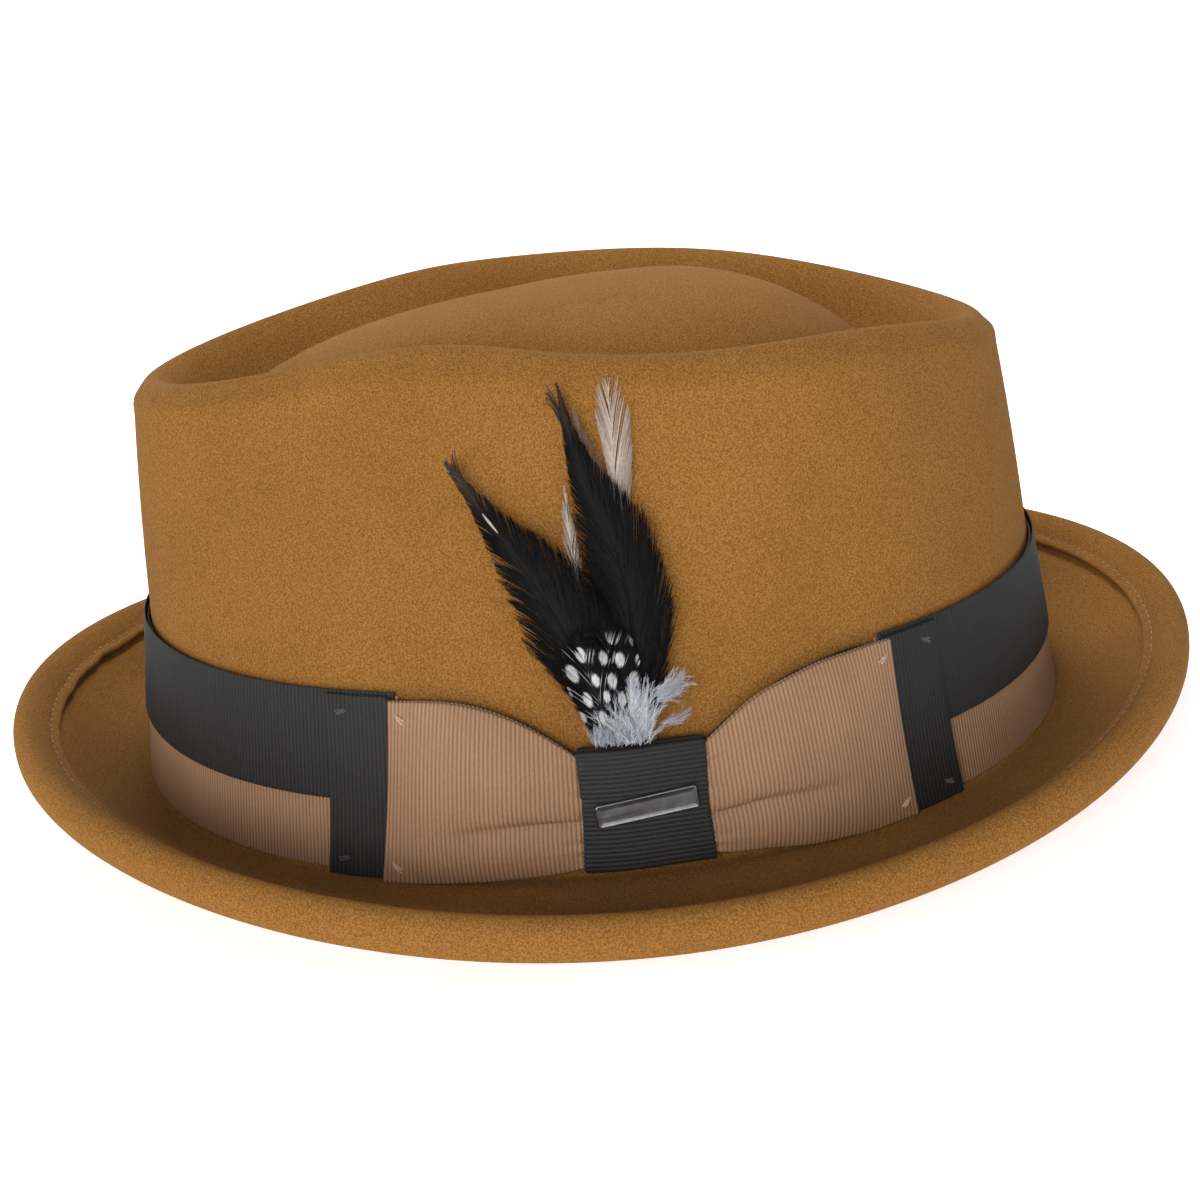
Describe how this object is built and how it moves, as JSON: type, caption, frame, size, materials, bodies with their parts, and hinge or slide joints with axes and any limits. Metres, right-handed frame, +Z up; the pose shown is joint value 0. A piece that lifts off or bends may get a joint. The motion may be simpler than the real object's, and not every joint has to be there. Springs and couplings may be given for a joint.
{
  "type": "fedora hat",
  "caption": "Wool felt hat with a ridged teardrop crown, a turned-up stingy brim, a two-colour ribbon band and a side bow holding a feather bundle.",
  "frame": {"origin": "centre of the brim outline, in the plane of the flat ring under the brim on which the hat rests", "axes": "+Z up, -Y towards the front of the hat, +X towards the wearer's left, where the bow and feathers are"},
  "size_m": [0.2424, 0.2664, 0.1004],
  "materials": {
    "felt": "brushed wool felt",
    "felt_thread": "matt thread",
    "leather": "smooth",
    "reed": "matt",
    "tape": "ribbed",
    "label": "woven, blank",
    "lining": "satin",
    "piping": "satin",
    "ribbon_dark": "ribbed grosgrain",
    "ribbon_tan": "ribbed grosgrain",
    "thread_tan": "matt thread",
    "thread_dark": "matt thread",
    "plate": "dark, bevelled",
    "quill": "bound quills",
    "feather_white": "feather",
    "feather_grey": "feather",
    "feather_black": "glossy feather",
    "feather_spotted": "feather with pale spots",
    "feather_down": "down"
  },
  "bodies": {
    "hat": {"felt_body": "felt", "brim_edge_thread": "felt_thread", "sweatband": "leather", "sweatband_back_tape": "tape", "size_label": "label", "lining_side": "lining", "lining_tip": "lining", "lining_piping": "piping", "sweatband_reed": "reed", "sweatband_stitching": "thread_dark", "hatband_tan": "ribbon_tan", "hatband_dark": "ribbon_dark", "under_wing_front": "ribbon_dark", "under_wing_back": "ribbon_dark", "bow_wing_front": "ribbon_tan", "bow_wing_back": "ribbon_tan", "bow_knot": "ribbon_dark", "blank_plate": "plate", "tack_wing_front_upper": "thread_tan", "tack_under_front_upper": "thread_dark", "tack_wing_front_lower": "thread_tan", "tack_under_front_lower": "thread_dark", "tack_wing_back_upper": "thread_tan", "tack_under_back_upper": "thread_dark", "tack_wing_back_lower": "thread_tan", "tack_under_back_lower": "thread_dark"},
    "feathers": {"feather_stem": "quill", "feather_white_long": "feather_white", "feather_white_short": "feather_white", "feather_grey": "feather_grey", "feather_black_tall": "feather_black", "feather_black_front": "feather_black", "feather_guinea_rear": "feather_spotted", "feather_guinea_front": "feather_spotted", "feather_down": "feather_down"}
  },
  "joints": [
    {"name": "feather_pull", "type": "slide", "parent": "hat", "child": "feathers", "axis": [-0.1213, 0.0119, 0.9925], "range_m": [0, 0.02]}
  ]
}
